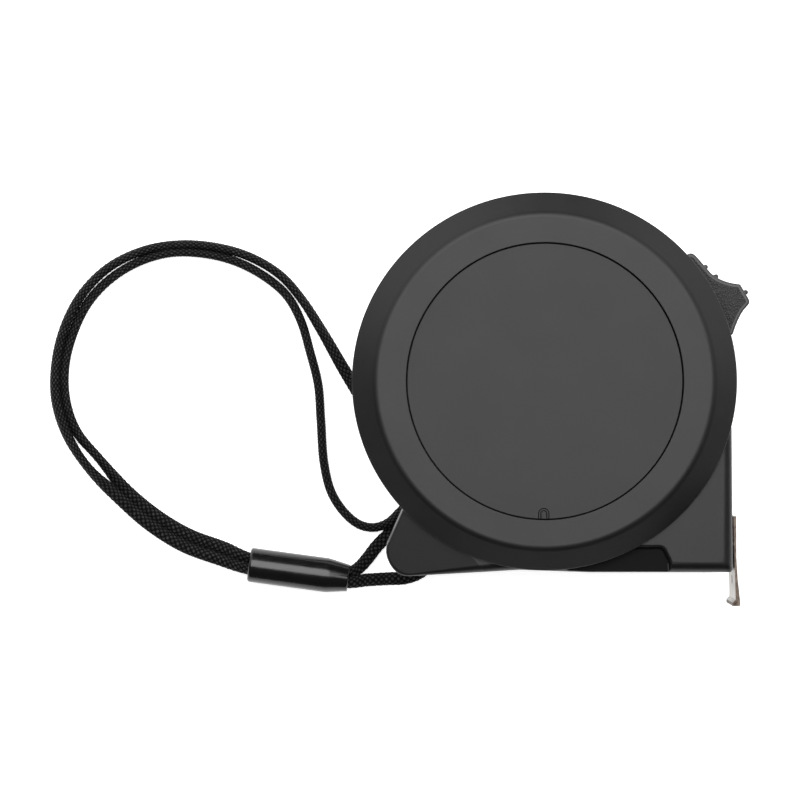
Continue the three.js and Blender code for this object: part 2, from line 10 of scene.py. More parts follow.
import bmesh
import bpy
import numpy as np
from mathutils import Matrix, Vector


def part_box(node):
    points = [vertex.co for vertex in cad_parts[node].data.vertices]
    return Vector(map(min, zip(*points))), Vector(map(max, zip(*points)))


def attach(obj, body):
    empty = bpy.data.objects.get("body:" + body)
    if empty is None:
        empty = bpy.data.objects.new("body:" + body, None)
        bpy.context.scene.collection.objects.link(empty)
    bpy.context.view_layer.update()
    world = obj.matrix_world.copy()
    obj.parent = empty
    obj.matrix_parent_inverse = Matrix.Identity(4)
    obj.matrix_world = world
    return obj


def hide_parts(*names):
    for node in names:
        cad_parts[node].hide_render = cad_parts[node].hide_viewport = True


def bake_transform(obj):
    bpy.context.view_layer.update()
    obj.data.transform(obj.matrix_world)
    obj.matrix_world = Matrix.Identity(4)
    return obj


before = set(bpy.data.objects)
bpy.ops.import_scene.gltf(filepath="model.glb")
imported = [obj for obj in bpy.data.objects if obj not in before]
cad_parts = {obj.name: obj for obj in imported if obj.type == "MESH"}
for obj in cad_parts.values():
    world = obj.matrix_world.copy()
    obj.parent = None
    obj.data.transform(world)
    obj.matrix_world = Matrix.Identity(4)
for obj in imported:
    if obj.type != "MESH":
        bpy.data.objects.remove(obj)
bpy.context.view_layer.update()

MM = 0.001


def box_mm(node):
    """Lowest and highest corner of a CAD node, in millimetres."""
    low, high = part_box(node)
    return np.array(low) / MM, np.array(high) / MM


# ---- Levels and sizes read from the frame ----

BEZEL_LOW, BEZEL_HIGH = box_mm("front_bezel")
LABEL_LOW, LABEL_HIGH = box_mm("label_disc")
CAP_LOW, CAP_HIGH = box_mm("rear_cap")
LOCK_LOW, LOCK_HIGH = box_mm("lock_button")
HOOK_LOW, HOOK_HIGH = box_mm("end_hook")
BLADE_LOW, BLADE_HIGH = box_mm("blade_front")
GROMMET_LOW, GROMMET_HIGH = box_mm("strap_grommet")
CLIP_HALF_WIDTH = box_mm("belt_clip_tongue")[1][0]
CLIP_PLATE_TOP = box_mm("belt_clip_root")[1][2]

CASE_BACK = box_mm("rear_shell")[0][2]
CASE_FRONT = box_mm("front_shell")[1][2]
CASE_MIDDLE = (CASE_BACK + CASE_FRONT) / 2
BEZEL_FRONT = BEZEL_HIGH[2]
RIM_RADIUS = BEZEL_HIGH[0]
RIM_FLATTENING = 1 - BEZEL_HIGH[1] / BEZEL_HIGH[0]
LABEL_TOP = LABEL_HIGH[2]
LABEL_RADIUS = LABEL_HIGH[0]
BASE_Y = -34.6          # the case's flat base
BODY_RADIUS = 33.0      # the case's round part
FRONT_X = 34.2          # the case's front, which the blade leaves
SEAM = 0.05             # half of the parting line's width


# ---- Camera: straight above the tape, as a product photograph is taken ----

CAMERA_HEIGHT = 935.0
CAMERA_AT = (-26.1, -3.37)
VIEW_WIDTH = 144.0      # across the frame, at the bezel's front
SENSOR_WIDTH = 36.0


def add_camera():
    data = bpy.data.cameras.new("camera")
    data.sensor_width = SENSOR_WIDTH
    data.lens = SENSOR_WIDTH * (CAMERA_HEIGHT - BEZEL_FRONT) / VIEW_WIDTH
    data.clip_start = 0.01
    data.clip_end = 10.0
    camera = bpy.data.objects.new("camera", data)
    camera.location = (CAMERA_AT[0] * MM, CAMERA_AT[1] * MM, CAMERA_HEIGHT * MM)
    bpy.context.scene.collection.objects.link(camera)
    bpy.context.scene.camera = camera


# ---- Mesh helpers ----

ON_AXIS = 1e-4              # stands for a radius of nothing
WELD_DISTANCE_M = 3e-7


def new_object(name, vertices, faces):
    """An object from points in millimetres and faces."""
    mesh = bpy.data.meshes.new(name)
    mesh.from_pydata((np.asarray(vertices, float) * MM).tolist(), [], [list(f) for f in faces])
    mesh.validate()
    mesh.update()
    obj = bpy.data.objects.new(name, mesh)
    bpy.context.scene.collection.objects.link(obj)
    return obj


@contextmanager
def mesh_edit(obj):
    """Opens an object's mesh for editing, and writes it back."""
    edit = bmesh.new()
    edit.from_mesh(obj.data)
    yield edit
    edit.to_mesh(obj.data)
    edit.free()


def bake_modifiers(obj):
    """Turns the modifiers' result into the object's own mesh."""
    bpy.context.view_layer.update()
    graph = bpy.context.evaluated_depsgraph_get()
    result = bpy.data.meshes.new_from_object(obj.evaluated_get(graph))
    obj.modifiers.clear()
    old = obj.data
    obj.data = result
    bpy.data.meshes.remove(old)


def mark_sharp(obj, degrees):
    """Smooth faces, with creases where they meet at more than the angle; keeps older creases."""
    limit = math.radians(degrees)
    with mesh_edit(obj) as edit:
        for face in edit.faces:
            face.smooth = True
        for edge in edit.edges:
            gentle = len(edge.link_faces) == 2 and edge.calc_face_angle(0.0) < limit
            edge.smooth = edge.smooth and gentle


def combine(obj, operation, others):
    """Joins an object with other solids, cuts them out or keeps what they share; removes them."""
    for other in others:
        modifier = obj.modifiers.new(other.name, "BOOLEAN")
        modifier.operation = operation
        modifier.solver = "EXACT"
        modifier.object = other
    bake_modifiers(obj)
    for other in others:
        bpy.data.objects.remove(other)


def cut(obj, *cutters):
    combine(obj, "DIFFERENCE", cutters)


def soften(obj, width, segments=3, degrees=32):
    """Rounds an object's edges, then shades it with flat faces kept flat."""
    if width:
        bevel = obj.modifiers.new("rounded edges", "BEVEL")
        bevel.width = width * MM
        bevel.segments = segments
        bevel.limit_method = "ANGLE"
        bevel.angle_limit = math.radians(degrees)
        bake_modifiers(obj)
    mark_sharp(obj, degrees)
    weighted = obj.modifiers.new("flat faces stay flat", "WEIGHTED_NORMAL")
    weighted.keep_sharp = True
    bake_modifiers(obj)


def loft(rings, capped=True):
    """Vertices and faces through closed rings with equal numbers of points."""
    count = len(rings[0])
    vertices = [tuple(point) for ring in rings for point in ring]
    faces = []
    for level in range(len(rings) - 1):
        a = level * count
        b = a + count
        for i in range(count):
            j = (i + 1) % count
            faces.append((a + i, a + j, b + j, b + i))
    if capped:
        start = (len(rings) - 1) * count
        faces.append(tuple(range(count - 1, -1, -1)))
        faces.append(tuple(range(start, start + count)))
    return vertices, faces


def lofted(name, rings, welded=False, closed=False):
    """A solid through rings of points; a closed one ends on its first ring, without caps."""
    obj = new_object(name, *loft(rings, not closed))
    with mesh_edit(obj) as edit:
        if welded:
            bmesh.ops.remove_doubles(edit, verts=edit.verts, dist=WELD_DISTANCE_M)
        bmesh.ops.recalc_face_normals(edit, faces=edit.faces)
    return obj


def at_level(points, level):
    """Points (x, y) with a height added, which is one number or one for each."""
    return np.column_stack([points, np.broadcast_to(level, (len(points),))])


def turned(name, profile, segments, centre=(0.0, 0.0), closed=False):
    """A solid turned about an axis along Z, from (radius, z) points that start and end on it.

    A closed profile stays off the axis and ends on its first point, which makes a ring.
    """
    rings = [at_level(circle(max(radius, ON_AXIS), segments, centre), level)
             for radius, level in profile]
    return lofted(name, rings, welded=True, closed=closed)


def prism(name, outline, low, high):
    """An outline in XY, extruded from one level to another."""
    return lofted(name, [at_level(outline, level) for level in (low, high)])


def circle(radius, count, centre=(0.0, 0.0)):
    angles = np.linspace(0, 2 * math.pi, count, endpoint=False)
    return np.column_stack([centre[0] + radius * np.cos(angles), centre[1] + radius * np.sin(angles)])


def arc(centre, radius, start, end, count):
    """Points (x, y) along an arc, from one angle to another in degrees, ends included."""
    angles = np.radians(np.linspace(start, end, count))
    return [(centre[0] + radius * math.cos(a), centre[1] + radius * math.sin(a)) for a in angles]


def curve_points(start, control, end, count):
    """Points of a quadratic curve, without its first one."""
    start, control, end = (np.array(p, float) for p in (start, control, end))
    points = []
    for t in np.linspace(0, 1, count + 1)[1:]:
        points.append(tuple((1 - t) ** 2 * start + 2 * t * (1 - t) * control + t * t * end))
    return points


def unit(vectors):
    return vectors / np.linalg.norm(vectors, axis=-1, keepdims=True)


def inset_outline(points, width, keep_all=False):
    """A closed outline moved inwards; corners tighter than the width are left out."""
    points = np.array(points)
    after = np.roll(points, -1, axis=0)
    edges = unit(after - points)
    inward = np.column_stack([-edges[:, 1], edges[:, 0]])
    area = np.sum(points[:, 0] * after[:, 1] - after[:, 0] * points[:, 1])
    inward *= 1 if area > 0 else -1
    at_corner = unit(inward + np.roll(inward, 1, axis=0))
    moved = points + at_corner * width / np.sum(at_corner * inward, axis=1, keepdims=True)
    if keep_all:
        return [tuple(point) for point in moved]
    kept = []
    for point in moved:
        share = np.sum((point - points) * (after - points), axis=1)
        share = np.clip(share / np.sum((after - points) ** 2, axis=1), 0, 1)
        nearest = points + (after - points) * share[:, None]
        if np.linalg.norm(nearest - point, axis=1).min() > width * 0.97:
            kept.append(tuple(point))
    return kept


def copy_of(node, name):
    """A new object with a copy of a CAD node's mesh, for softening."""
    obj = bpy.data.objects.new(name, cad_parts[node].data.copy())
    bpy.context.scene.collection.objects.link(obj)
    with mesh_edit(obj) as edit:
        bmesh.ops.remove_doubles(edit, verts=edit.verts, dist=1e-6)
        bmesh.ops.dissolve_limit(
            edit, angle_limit=math.radians(1), verts=edit.verts, edges=edit.edges)
    return obj


def dress(obj, node, body, material):
    """Puts a piece in place of its CAD node."""
    obj.data.materials.clear()
    obj.data.materials.append(material)
    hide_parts(node)
    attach(obj, body)


def add_loose(obj, *others):
    """Adds other objects' meshes to an object's mesh, and removes them."""
    with mesh_edit(obj) as edit:
        for other in others:
            edit.from_mesh(other.data)
            bpy.data.objects.remove(other)


def filleted(points, radii, steps=5):
    """A line of 2-D points with its inner corners rounded; one radius for each point."""
    points = [np.array(p, float) for p in points]
    result = [tuple(points[0])]
    for before, corner, after, radius in zip(points, points[1:], points[2:], radii[1:]):
        if not radius:
            result.append(tuple(corner))
            continue
        back = (before - corner) / np.linalg.norm(before - corner)
        on = (after - corner) / np.linalg.norm(after - corner)
        half = math.acos(float(np.clip(back @ on, -1, 1))) / 2
        reach = min(radius / math.tan(half), 0.49 * np.linalg.norm(before - corner),
                    0.49 * np.linalg.norm(after - corner))
        start, end = corner + back * reach, corner + on * reach
        result.append(tuple(start))
        result.extend(curve_points(start, corner, end, steps))
    result.append(tuple(points[-1]))
    return result


def paint_faces(obj, material, test):
    """Gives a second material to the faces whose centre (mm) and normal pass the test."""
    obj.data.materials.append(material)
    index = len(obj.data.materials) - 1
    for face in obj.data.polygons:
        if test(np.array(face.center) / MM, np.array(face.normal)):
            face.material_index = index


# ---- Material helpers ----

class Recipe:
    """A node material being put together; every length in it is in millimetres."""

    def __init__(self, name):
        self.material = bpy.data.materials.new(name)
        self.material.use_nodes = True
        self.tree = self.material.node_tree
        self.tree.nodes.clear()
        self.shader = self.tree.nodes.new("ShaderNodeBsdfPrincipled")
        self.node("OutputMaterial", {"Surface": self.shader.outputs["BSDF"]})
        self.place = self.math_vector(
            "MULTIPLY", self.node("TexCoord")["Object"], (1 / MM, 1 / MM, 1 / MM))
        self.normal = None

    def feed(self, socket, value):
        """Sets a socket to a number or colour, or links another socket to it."""
        if isinstance(value, bpy.types.NodeSocket):
            self.tree.links.new(value, socket)
        else:
            socket.default_value = value

    def node(self, kind, inputs=None, **settings):
        """The outputs of a new node with these inputs, by name or number, and settings."""
        step = self.tree.nodes.new("ShaderNode" + kind)
        for name, value in settings.items():
            setattr(step, name, value)
        for name, value in (inputs or {}).items():
            self.feed(step.inputs[name], value)
        return step.outputs

    def math(self, operation, a, b):
        return self.node("Math", {0: a, 1: b}, operation=operation)["Value"]

    def math_vector(self, operation, a, b):
        return self.node("VectorMath", {0: a, 1: b}, operation=operation)["Vector"]

    def noise(self, size, detail=3.0, roughness=0.5, stretch=(1, 1, 1)):
        """Noise with features of about this size; stretch makes them longer along an axis."""
        place = self.math_vector("DIVIDE", self.place, stretch)
        return self.node("TexNoise", {"Vector": place, "Scale": 1 / size, "Detail": detail,
                                      "Roughness": roughness})["Fac"]

    def cells(self, size):
        """Distance from the middle of cells of about this size."""
        return self.node("TexVoronoi", {"Vector": self.place, "Scale": 1 / size})["Distance"]

    def between(self, value, low, high, from_low=0.0, from_high=1.0):
        """Maps a value's range to another range, held at its ends."""
        return self.node("MapRange", {"Value": value, "From Min": from_low, "From Max": from_high,
                                      "To Min": low, "To Max": high})["Result"]

    def mix(self, amount, first, second):
        return self.node("Mix", {0: amount, 6: first, 7: second}, data_type="RGBA")[2]

    def edges(self):
        """Near 1 on outer edges, where handling wears a surface."""
        return self.between(self.node("NewGeometry")["Pointiness"], 0.0, 1.0, 0.51, 0.60)

    def bump(self, height, depth):
        """Adds relief of this depth to the surface."""
        inputs = {"Distance": depth * MM, "Height": height}
        if self.normal is not None:
            inputs["Normal"] = self.normal
        self.normal = self.node("Bump", inputs)["Normal"]

    def done(self, color, roughness, **others):
        self.feed(self.shader.inputs["Base Color"], color)
        self.feed(self.shader.inputs["Roughness"], roughness)
        for name, value in others.items():
            self.feed(self.shader.inputs[name.replace("_", " ")], value)
        if self.normal is not None:
            self.feed(self.shader.inputs["Normal"], self.normal)
        return self.material


def grey(level, warmth=0.0):
    return (level * (1 + warmth), level, level * (1 - warmth), 1)


def grained_plastic(name, level, roughness, grain, depth, specular):
    """Moulded plastic with a fine eroded grain, faint flow marks and lighter worn edges."""
    make = Recipe(name)
    cloud = make.noise(9.0, detail=5)
    specks = make.noise(grain * 1.7, detail=2)
    tone = make.math("ADD", make.math("MULTIPLY", cloud, 0.5), make.math("MULTIPLY", specks, 0.5))
    color = make.mix(make.between(tone, 0, 1, 0.3, 0.7), grey(level * 0.8), grey(level * 1.2))
    worn = make.math("MULTIPLY", make.edges(), make.between(make.noise(1.4), 0, 0.5, 0.35, 0.75))
    color = make.mix(worn, color, grey(level * 1.9))
    make.bump(make.noise(grain, detail=4, roughness=0.6), depth)
    make.bump(make.noise(14.0), 0.012)
    rough = make.math("ADD", make.between(cloud, roughness - 0.012, roughness + 0.012, 0.3, 0.7),
                      make.between(specks, -0.02, 0.02, 0.3, 0.7))
    return make.done(color, rough, Specular_IOR_Level=specular)


def stippled_plastic(name, level):
    """Plastic with a coarse, irregular spark-eroded stipple, its colour lighter on the lumps and
    darker in the pits: a painted highlight and painted shade that follow the bump.
    """
    make = Recipe(name)
    lumps = make.cells(0.42)
    fine = make.noise(0.28, detail=3)
    height = make.math("ADD", make.between(lumps, 1, 0, 0.1, 0.6), make.math("MULTIPLY", fine, 0.6))
    # Painted light and shade: the colour runs from dark in the stipple's pits to light on its lumps
    tone = make.between(height, 0, 1, 0.3, 1.3)
    color = make.mix(tone, grey(level * 0.35), grey(level * 1.45))
    make.bump(height, 0.16)
    rough = make.between(fine, 0.55, 0.7, 0.3, 0.7)
    return make.done(color, rough, Specular_IOR_Level=0.4)


def metal(name, color, roughness, brushed=(1, 1, 1), tarnish=0.0, tarnish_size=3.5,
          tarnish_color=(0.1, 0.07, 0.05, 1)):
    """Bare or plated metal with fine lengthwise brushing and patches of tarnish."""
    make = Recipe(name)
    lines = make.noise(0.12, detail=2, stretch=brushed)
    patches = make.noise(tarnish_size, detail=5)
    dark = tuple(c * 0.82 for c in color[:3]) + (1,)
    tint = make.mix(make.between(lines, 0, 1, 0.35, 0.65), dark, color)
    amount = make.between(patches, 0.0, tarnish, 0.45, 0.8)
    tint = make.mix(amount, tint, tarnish_color)
    make.bump(lines, 0.006)
    make.bump(patches, 0.01)
    rough = make.math("ADD", make.between(lines, roughness - 0.05, roughness + 0.06, 0.3, 0.7),
                      make.between(patches, 0, 0.08, 0.4, 0.7))
    return make.done(tint, rough, Metallic=1.0)


def coated_steel(name, level, roughness):
    """Steel under a thin black coat, with a light orange-peel skin and pale worn edges."""
    make = Recipe(name)
    peel = make.noise(0.5, detail=2)
    patches = make.noise(5.0, detail=4)
    color = make.mix(make.between(patches, 0, 1, 0.3, 0.7), grey(level * 0.8), grey(level * 1.2))
    worn = make.math("MULTIPLY", make.edges(), make.between(make.noise(0.8), 0, 1, 0.45, 0.6))
    color = make.mix(worn, color, grey(0.28, 0.03))
    make.bump(peel, 0.012)
    rough = make.between(patches, roughness - 0.06, roughness + 0.08, 0.3, 0.7)
    return make.done(color, rough, Specular_IOR_Level=0.6, Metallic=make.math("MULTIPLY", worn, 0.8))


def glossy_plastic(name, level):
    """Polished black plastic with faint moulding waves and hairline scratches."""
    make = Recipe(name)
    waves = make.noise(2.5, detail=2)
    hairs = make.noise(0.15, detail=1, stretch=(14, 2, 2))
    color = make.mix(waves, grey(level * 0.8), grey(level * 1.2))
    make.bump(waves, 0.012)
    make.bump(hairs, 0.0015)
    rough = make.between(hairs, 0.16, 0.27, 0.3, 0.75)
    return make.done(color, rough, Specular_IOR_Level=0.42)


def cord_fibre(name, level):
    """Braided polyester: matt yarns, with painted highlights on the raised yarn crowns and painted
    shade between them.
    """
    make = Recipe(name)
    crown = make.node("Attribute", attribute_name="crown")["Fac"]
    fibres = make.noise(0.09, detail=3, roughness=0.7)
    yarns = make.noise(0.5, detail=2)
    raised = make.between(crown, 0, 1, 0.55, 1.0)
    # Painted highlight: the raised yarn crowns are painted many times lighter than the dark low yarns
    painted_crown_highlights = make.math("MULTIPLY", raised, make.between(yarns, 0.1, 1, 0.35, 0.65))
    color = make.mix(painted_crown_highlights, grey(level * 0.4), grey(level * 5.0))
    make.bump(fibres, 0.05)
    return make.done(color, make.between(fibres, 0.5, 0.8, 0.3, 0.7),
                     Specular_IOR_Level=make.between(raised, 0.05, 0.4))


def nylon(name):
    make = Recipe(name)
    cloud = make.noise(2.0, detail=4)
    color = make.mix(cloud, (0.70, 0.67, 0.58, 1), (0.82, 0.80, 0.73, 1))
    make.bump(make.noise(0.3, detail=3), 0.02)
    return make.done(color, make.between(cloud, 0.45, 0.6, 0.3, 0.7),
                     Subsurface_Weight=0.15, Subsurface_Scale=0.001)


GRADUATIONS = ((1.0, 2.2, 0.16), (5.0, 3.6, 0.20), (10.0, 6.0, 0.26))  # spacing, length, width
SHORT_SIDE = 0.7            # how long the marks along the second edge are, next to the first's


def blade_paint(name):
    """Yellow lacquer with black graduations along both edges, shorter along one of them."""
    make = Recipe(name)
    place = make.node("SeparateXYZ", {"Vector": make.place})
    along = make.math("SUBTRACT", place["X"], BLADE_HIGH[0])
    from_edge = make.math("SUBTRACT", BLADE_HIGH[2], place["Z"])
    from_other = make.math("SUBTRACT", place["Z"], BLADE_LOW[2])
    marks = None
    for spacing, length, width in GRADUATIONS:
        phase = make.math("PINGPONG", along, spacing / 2)
        line = make.math("LESS_THAN", phase, width / 2)
        near = make.math("LESS_THAN", from_edge, length)
        far = make.math("LESS_THAN", from_other, length * SHORT_SIDE)
        mark = make.math("MULTIPLY", line, make.math("MAXIMUM", near, far))
        marks = mark if marks is None else make.math("MAXIMUM", marks, mark)
    grime = make.noise(3.0, detail=4, stretch=(5, 1, 1))
    paint = make.mix(grime, (0.80, 0.50, 0.045, 1), (0.90, 0.62, 0.07, 1))
    color = make.mix(marks, paint, (0.012, 0.012, 0.012, 1))
    make.bump(make.noise(0.4, detail=3), 0.008)
    return make.done(color, make.between(grime, 0.30, 0.42, 0.3, 0.7), Specular_IOR_Level=0.5)


PAPER_GLOW = 0.75


def floor_paper(name):
    """Seamless white paper, bright enough to print as plain white."""
    make = Recipe(name)
    fibres = make.noise(1.2, detail=6)
    color = make.mix(fibres, grey(0.90), grey(0.94))
    make.bump(fibres, 0.02)
    make.shader.inputs["Emission Color"].default_value = grey(1.0)
    make.shader.inputs["Emission Strength"].default_value = PAPER_GLOW
    return make.done(color, make.between(fibres, 0.85, 0.95), Specular_IOR_Level=0.1)


def make_materials():
    return {
        "bezel": grained_plastic("bezel_rubberised", 0.005, 0.44, 0.16, 0.010, specular=0.34),
        "shell": grained_plastic("shell_plastic", 0.005, 0.42, 0.22, 0.012, specular=0.27),
        # Near-black plastic laid on recess and groove floors as painted shade
        "painted_shade": grained_plastic("painted_shade_plastic", 0.003, 0.6, 0.25, 0.02, specular=0.08),
        "label": grained_plastic("label_plastic", 0.006, 0.46, 0.12, 0.006, specular=0.33),
        "lock": grained_plastic("lock_plastic", 0.020, 0.42, 0.3, 0.01, specular=0.5),
        "lock_side": stippled_plastic("lock_stipple_painted_light", 0.050),
        "cap": grained_plastic("cap_rubberised", 0.008, 0.5, 0.2, 0.02, specular=0.4),
        "hook": metal("hook_nickel", (0.50, 0.48, 0.45, 1), 0.34, brushed=(1, 12, 1), tarnish=0.22),
        "hook_edge": metal("hook_cut_edge", (0.15, 0.12, 0.10, 1), 0.5, brushed=(4, 1, 1),
                           tarnish=0.9, tarnish_size=0.7, tarnish_color=(0.02, 0.015, 0.012, 1)),
        "spring": metal("bare_steel", (0.46, 0.47, 0.50, 1), 0.33, brushed=(1, 1, 12), tarnish=0.2),
        "screw": coated_steel("screw_black", 0.028, 0.38),
        "clip": coated_steel("clip_black", 0.022, 0.42),
        "blade": blade_paint("blade_lacquer"),
        "nylon": nylon("natural_nylon"),
        "rubber": grained_plastic("brake_rubber", 0.012, 0.85, 0.3, 0.03, specular=0.2),
        "cord": cord_fibre("cord_braid", 0.008),
        "bead": glossy_plastic("bead_gloss", 0.006),
    }


# ---- Wrist cord: one flat braid doubled, as two strands ----

OUTER_ROUTE_M = [
    (-0.02005, -0.02085, 0.0105), (-0.0201, -0.0207, 0.0074), (-0.0216, -0.019, 0.0037),
    (-0.0242, -0.0158, 0.0015), (-0.0282, -0.0105, 0.0011), (-0.0324, -0.0044, 0.0011),
    (-0.0365, 0.0022, 0.0011), (-0.0408, 0.0097, 0.0011), (-0.0445, 0.0155, 0.0011),
    (-0.0485, 0.02, 0.0011), (-0.0542, 0.0235, 0.0011), (-0.0605, 0.0254, 0.0011),
    (-0.0673, 0.0259, 0.0011), (-0.074, 0.0248, 0.0011), (-0.0805, 0.0217, 0.0011),
    (-0.0856, 0.0167, 0.0011), (-0.0889, 0.0105, 0.0011), (-0.0906, 0.0035, 0.0011),
    (-0.0906, -0.0035, 0.0011), (-0.0886, -0.01, 0.0011), (-0.0846, -0.0158, 0.0011),
    (-0.079, -0.0217, 0.0011), (-0.0729, -0.027, 0.0011), (-0.0665, -0.0309, 0.0011),
    (-0.06, -0.0332, 0.0016), (-0.0544, -0.0349, 0.0032), (-0.0451, -0.0364, 0.00325),
    (-0.0359, -0.03735, 0.0031), (-0.0322, -0.037, 0.0016), (-0.0283, -0.0368, 0.0011),
    (-0.025, -0.0366, 0.0011), (-0.0224, -0.0356, 0.0011), (-0.0202, -0.0336, 0.0011),
    (-0.0189, -0.0306, 0.0011), (-0.0186, -0.0272, 0.0016), (-0.0192, -0.0245, 0.0037),
    (-0.02, -0.0229, 0.0074), (-0.02005, -0.02275, 0.0105),
]
INNER_ROUTE_M = [
    (-0.02195, -0.02085, 0.0105), (-0.022, -0.0209, 0.0074), (-0.0229, -0.0217, 0.0037),
    (-0.0243, -0.0229, 0.0016), (-0.0261, -0.0245, 0.0011), (-0.0284, -0.0264, 0.0011),
    (-0.031, -0.0272, 0.0011), (-0.0336, -0.0267, 0.0011), (-0.0363, -0.0246, 0.0011),
    (-0.0389, -0.0207, 0.0011), (-0.0403, -0.0152, 0.0011), (-0.0409, -0.0071, 0.0011),
    (-0.0414, -0.0005, 0.0011), (-0.0429, 0.0056, 0.0011), (-0.0447, 0.0116, 0.0011),
    (-0.0473, 0.0162, 0.0011), (-0.0514, 0.0197, 0.0011), (-0.057, 0.0225, 0.0011),
    (-0.0634, 0.0239, 0.0011), (-0.0694, 0.0239, 0.0011), (-0.0753, 0.0221, 0.0011),
    (-0.0804, 0.0189, 0.0011), (-0.0843, 0.0147, 0.0011), (-0.087, 0.0093, 0.0011),
    (-0.0886, 0.0032, 0.0011), (-0.0885, -0.0031, 0.0011), (-0.0865, -0.0089, 0.0011),
    (-0.0823, -0.0144, 0.0011), (-0.077, -0.0202, 0.0011), (-0.071, -0.0252, 0.0011),
    (-0.0652, -0.0287, 0.0011), (-0.0597, -0.031, 0.0016), (-0.0564, -0.03235, 0.003),
    (-0.0543, -0.033, 0.00325), (-0.0449, -0.0342, 0.00325), (-0.0356, -0.0355, 0.0031),
    (-0.0338, -0.0347, 0.002), (-0.0322, -0.033, 0.0012), (-0.0305, -0.0308, 0.0011),
    (-0.0286, -0.0289, 0.0011), (-0.0265, -0.0272, 0.0011), (-0.0245, -0.0255, 0.0011),
    (-0.0229, -0.024, 0.0026), (-0.0221, -0.0231, 0.0052), (-0.02195, -0.0228, 0.0076),
    (-0.02195, -0.02275, 0.0105),
]

# How far each strand is rolled from lying flat: (route point, degrees).
OUTER_ROLL = [(0, 0), (5, 15), (6, 35), (7, 62), (8, 82), (13, 80), (15, 68), (19, 58),
              (20, 86), (20.8, 20), (22, 10), (24, 12), (25, 50), (27, 40), (28, 4), (37, 0)]
INNER_ROLL = [(0, 0), (3, 30), (5, 82), (12, 86), (20, 80), (22, 68), (26, 58), (27, 86),
              (27.8, 20), (29, 10), (31, 10), (32, 15), (33, 50), (35, 40), (37, 4), (45, 0)]
# How far each strand lies to the left of its route: (route point, distance).
OUTER_SHIFT = [(0, 0), (9, 0), (11, 0.2), (18, 0.2), (19, 0.34), (20, -0.08), (20.9, 0.28),
               (24, 0.15), (25, 0), (37, 0)]
INNER_SHIFT = [(0, 0), (16, 0), (18, -0.2), (25, -0.2), (26, -0.34), (27, 0.1), (27.9, -0.28),
               (30, -0.1), (31, 0.3), (32, 0.35), (33, 0), (45, 0)]
BRAID_HALF_WIDTH = 1.22
BRAID_HALF_THICKNESS = 0.81
BRAID_RELIEF = 0.2
BRAID_YARNS = 8             # yarns that cross the section each way
BRAID_PITCH = 0.55          # along the cord, from one yarn to the next
BRAID_MEAN_HEIGHT = 0.75    # of the relief, which lies at the section's outline
BRAID_SQUARENESS = 0.85     # 1 is an ellipse, less is squarer
CORD_AROUND = 48
CORD_STEP = 0.16
SPAN_STEPS = 24             # from one route point to the next, before even spacing
LYING_BELOW = 1.25          # route points lower than this lie on the floor
FLOOR_CLEARANCE = 0.03
LOWEST = 0.005


def between_times(first, second, start, end, time):
    return (first * (end - time) + second * (time - start)) / (end - start)


def catmull_rom(points, per_span):
    """A smooth line through the points, with centripetal spacing; also each point's place."""
    points = np.asarray(points, float)
    padded = np.vstack([2 * points[0] - points[1], points, 2 * points[-1] - points[-2]])
    line, places = [], []
    for i in range(len(points) - 1):
        p0, p1, p2, p3 = padded[i:i + 4]
        t0 = 0.0
        t1 = t0 + np.linalg.norm(p1 - p0) ** 0.5
        t2 = t1 + np.linalg.norm(p2 - p1) ** 0.5
        t3 = t2 + np.linalg.norm(p3 - p2) ** 0.5
        for step in range(per_span):
            t = t1 + (t2 - t1) * step / per_span
            a1 = between_times(p0, p1, t0, t1, t)
            a2 = between_times(p1, p2, t1, t2, t)
            a3 = between_times(p2, p3, t2, t3, t)
            b1 = between_times(a1, a2, t0, t2, t)
            b2 = between_times(a2, a3, t1, t3, t)
            line.append(between_times(b1, b2, t1, t2, t))
            places.append(i + step / per_span)
    line.append(points[-1])
    places.append(len(points) - 1)
    return np.array(line), np.array(places, float)


def evenly(line, places, step):
    """The same line and places, resampled at an even distance."""
    along = np.concatenate([[0], np.cumsum(np.linalg.norm(np.diff(line, axis=0), axis=1))])
    marks = np.linspace(0, along[-1], max(2, int(round(along[-1] / step)) + 1))
    even = np.column_stack([np.interp(marks, along, line[:, i]) for i in range(3)])
    return even, np.interp(marks, along, places), marks


def level_sides(tangents):
    """A level direction across the line at each point, carried on where the line stands up."""
    sides = np.cross([0, 0, 1], tangents)
    good = np.linalg.norm(sides, axis=1) > 0.5
    known = np.flatnonzero(good)
    for i in np.flatnonzero(~good):
        sides[i] = sides[known[np.argmin(np.abs(known - i))]]
    sides -= tangents * np.sum(sides * tangents, axis=1, keepdims=True)
    return unit(sides)


def braid_height(around, along):
    """Relief of the braid, 0 to 1: yarns pass over and under each other in both directions."""
    rising = around * BRAID_YARNS + along / (2 * BRAID_PITCH)
    falling = around * BRAID_YARNS - along / (2 * BRAID_PITCH)
    over = (np.floor(rising) + np.floor(falling)) % 2 == 0
    across = np.where(over, rising % 1, falling % 1)
    length = np.where(over, falling % 1, rising % 1)
    return np.sin(np.pi * across) ** 0.6 * (0.45 + 0.55 * np.sin(np.pi * length) ** 0.8)


def averaged(values, reach):
    """A running mean over this many values on each side."""
    window = 2 * reach + 1
    return np.convolve(np.pad(values, reach, mode="edge"), np.ones(window) / window, mode="valid")


def superellipse(turn, half_width, half_height):
    """A flat braid's section: x and y around it."""
    x, y = np.cos(turn), np.sin(turn)
    return (np.sign(x) * np.abs(x) ** BRAID_SQUARENESS * half_width,
            np.sign(y) * np.abs(y) ** BRAID_SQUARENESS * half_height)


